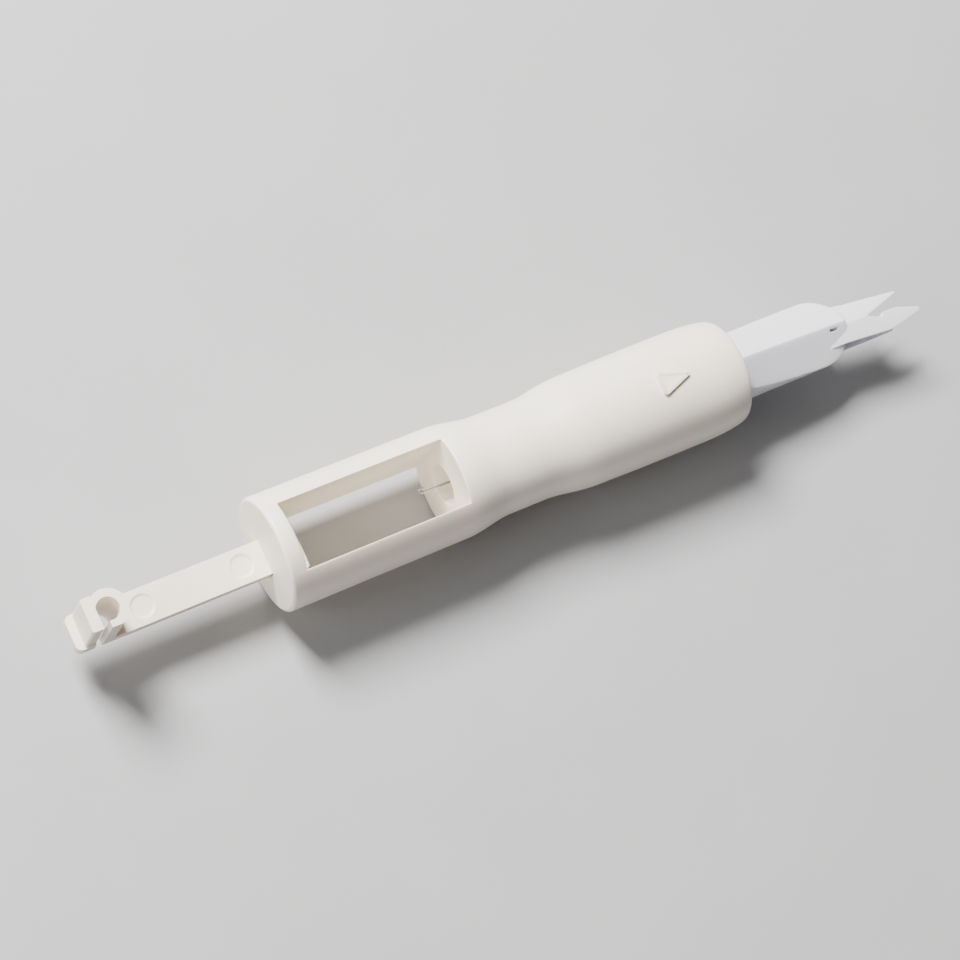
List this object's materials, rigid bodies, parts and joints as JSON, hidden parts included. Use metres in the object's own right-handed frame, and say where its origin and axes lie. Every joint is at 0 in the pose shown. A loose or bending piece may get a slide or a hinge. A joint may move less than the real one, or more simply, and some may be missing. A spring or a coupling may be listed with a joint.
{
  "type": "sewing machine needle threader",
  "caption": "Hand tool for a sewing machine needle: sprung threading fork at one end, windowed round handle, and a sliding arm with a slit tube that holds the needle.",
  "frame": {"origin": "centre of the handle's flat end face, where the needle arm comes out", "axes": "+X along the handle towards the fork, +Z out of the window and the triangle mark's side, +Y completes the right-handed frame"},
  "size_m": [0.0923, 0.0114, 0.0117],
  "materials": {
    "cream_plastic": "satin",
    "cream_plastic_arm": "satin",
    "clear_nylon": "satin, translucent",
    "white_plastic": "satin",
    "wire_steel": "drawn wire",
    "spring_steel": "drawn wire"
  },
  "bodies": {
    "handle": {"handle_shell": "cream_plastic", "front_collar": "white_plastic", "wire_carrier": "white_plastic", "hook_wire": "wire_steel", "threading_pin": "wire_steel", "return_spring": "spring_steel"},
    "needle_slider": {"needle_arm": "cream_plastic_arm", "arm_stop": "cream_plastic_arm"},
    "plunger": {"fork_head": "clear_nylon", "guide_blade": "clear_nylon", "plunger_ring": "white_plastic"}
  },
  "joints": [
    {"name": "arm_slide", "type": "slide", "parent": "handle", "child": "needle_slider", "axis": [1, 0, 0], "range_m": [0, 0.013]},
    {"name": "plunger_slide", "type": "slide", "parent": "handle", "child": "plunger", "axis": [-1, 0, 0], "range_m": [0, 0.003], "stiffness_N_per_m": 150, "springref_m": -0.002, "deforming": ["return_spring"]}
  ]
}
